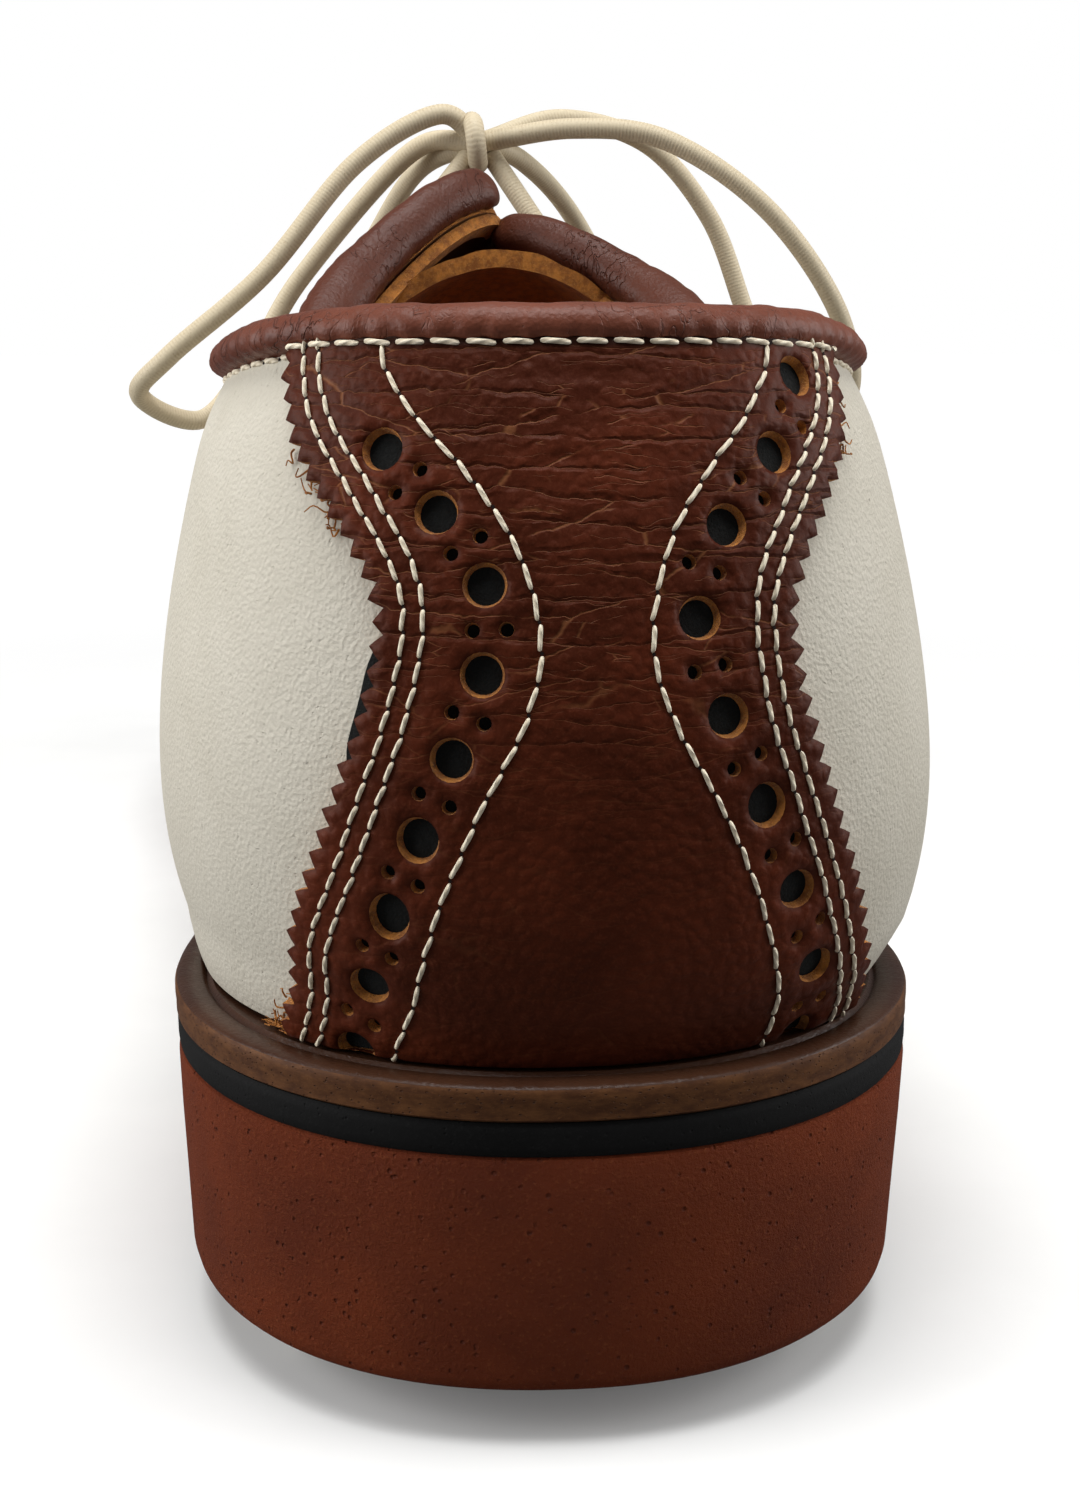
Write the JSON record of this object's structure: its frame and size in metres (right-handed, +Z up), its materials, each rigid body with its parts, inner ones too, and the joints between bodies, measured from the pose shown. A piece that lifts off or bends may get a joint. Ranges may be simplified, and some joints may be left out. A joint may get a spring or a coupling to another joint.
{
  "type": "golf shoe",
  "caption": "Right-foot golf shoe with a low brogued two-tone leather upper, waxed lace, stacked heel and soft cleats that unlock with a quarter turn.",
  "frame": {"origin": "middle of the shoe's bounding box, on the ground plane under the cleat tips", "axes": "+Y from heel to toe, +X to the outer (lateral) side of this right shoe, +Z up"},
  "size_m": [0.107, 0.297, 0.1204],
  "materials": {
    "cream_leather": "matt smooth leather",
    "brown_leather": "pebbled leather, low sheen",
    "tan_leather": "unfinished lining leather",
    "welt_leather": "burnished edge",
    "black_rubber": "matt",
    "brick_rubber": "matt, fine pitted grain",
    "lace_cotton": "waxed round cord",
    "stiffener_board": "fibre board",
    "cork": "pressed cork",
    "spring_steel": "brushed",
    "antique_brass": "dulled",
    "aglet_plastic": "gloss",
    "cleat_plastic": "satin",
    "receptacle_plastic": "satin",
    "footbed_leather": "matt"
  },
  "bodies": {
    "shoe": {"outsole": "brick_rubber", "midsole": "black_rubber", "welt": "welt_leather", "insole_board": "tan_leather", "footbed": "footbed_leather", "steel_shank": "spring_steel", "cork_filler": "cork", "heel_counter": "stiffener_board", "toe_stiffener": "stiffener_board", "quarter_lining": "tan_leather", "vamp_lining": "tan_leather", "vamp": "cream_leather", "wing_tip": "brown_leather", "quarter_lateral": "cream_leather", "quarter_medial": "cream_leather", "heel_foxing": "brown_leather", "facing_lateral": "brown_leather", "facing_medial": "brown_leather", "collar_binding": "brown_leather", "lace": "lace_cotton", "aglet_lateral": "aglet_plastic", "aglet_medial": "aglet_plastic", "eyelet_lateral_1": "antique_brass", "eyelet_lateral_2": "antique_brass", "eyelet_lateral_3": "antique_brass", "eyelet_lateral_4": "antique_brass", "eyelet_lateral_5": "antique_brass", "eyelet_medial_1": "antique_brass", "eyelet_medial_2": "antique_brass", "eyelet_medial_3": "antique_brass", "eyelet_medial_4": "antique_brass", "eyelet_medial_5": "antique_brass", "receptacle_1": "receptacle_plastic", "receptacle_2": "receptacle_plastic", "receptacle_3": "receptacle_plastic", "receptacle_4": "receptacle_plastic", "receptacle_5": "receptacle_plastic", "receptacle_6": "receptacle_plastic", "receptacle_7": "receptacle_plastic", "receptacle_8": "receptacle_plastic", "receptacle_9": "receptacle_plastic"},
    "tongue_body": {"tongue": "brown_leather"},
    "cleat_1_body": {"cleat_1": "cleat_plastic"},
    "cleat_2_body": {"cleat_2": "cleat_plastic"},
    "cleat_3_body": {"cleat_3": "cleat_plastic"},
    "cleat_4_body": {"cleat_4": "cleat_plastic"},
    "cleat_5_body": {"cleat_5": "cleat_plastic"},
    "cleat_6_body": {"cleat_6": "cleat_plastic"},
    "cleat_7_body": {"cleat_7": "cleat_plastic"},
    "cleat_8_body": {"cleat_8": "cleat_plastic"},
    "cleat_9_body": {"cleat_9": "cleat_plastic"}
  },
  "joints": [
    {"name": "tongue_hinge", "type": "hinge", "parent": "shoe", "child": "tongue_body", "pos_m": [-0.00321, 0.0176, 0.06256], "axis": [1, 0, 0], "range_deg": [0, 22]},
    {"name": "cleat_1_turn", "type": "hinge", "parent": "shoe", "child": "cleat_1_body", "pos_m": [-0.01859, -0.1214, 0.00625], "axis": [0, 0, 1], "range_deg": [0, 90]},
    {"name": "cleat_2_turn", "type": "hinge", "parent": "shoe", "child": "cleat_2_body", "pos_m": [0.01641, -0.1214, 0.00625], "axis": [0, 0, 1], "range_deg": [0, 90]},
    {"name": "cleat_3_turn", "type": "hinge", "parent": "shoe", "child": "cleat_3_body", "pos_m": [-0.00107, -0.0884, 0.00625], "axis": [0, 0, 1], "range_deg": [0, 90]},
    {"name": "cleat_4_turn", "type": "hinge", "parent": "shoe", "child": "cleat_4_body", "pos_m": [-0.0221, 0.02314, 0.00761], "axis": [0.0083, 0.0573, 0.9983], "range_deg": [0, 90]},
    {"name": "cleat_5_turn", "type": "hinge", "parent": "shoe", "child": "cleat_5_body", "pos_m": [0.02578, 0.01087, 0.00801], "axis": [0.0089, 0.076, 0.9971], "range_deg": [0, 90]},
    {"name": "cleat_6_turn", "type": "hinge", "parent": "shoe", "child": "cleat_6_body", "pos_m": [-0.02973, 0.062, 0.00641], "axis": [-0.0014, -0.0057, 1], "range_deg": [0, 90]},
    {"name": "cleat_7_turn", "type": "hinge", "parent": "shoe", "child": "cleat_7_body", "pos_m": [0.03061, 0.04071, 0.00643], "axis": [0.0031, 0.0131, 0.9999], "range_deg": [0, 90]},
    {"name": "cleat_8_turn", "type": "hinge", "parent": "shoe", "child": "cleat_8_body", "pos_m": [-0.02168, 0.09367, 0.00805], "axis": [-0.0097, -0.0889, 0.996], "range_deg": [0, 90]},
    {"name": "cleat_9_turn", "type": "hinge", "parent": "shoe", "child": "cleat_9_body", "pos_m": [0.0137, 0.08561, 0.00774], "axis": [-0.0088, -0.0692, 0.9976], "range_deg": [0, 90]}
  ]
}
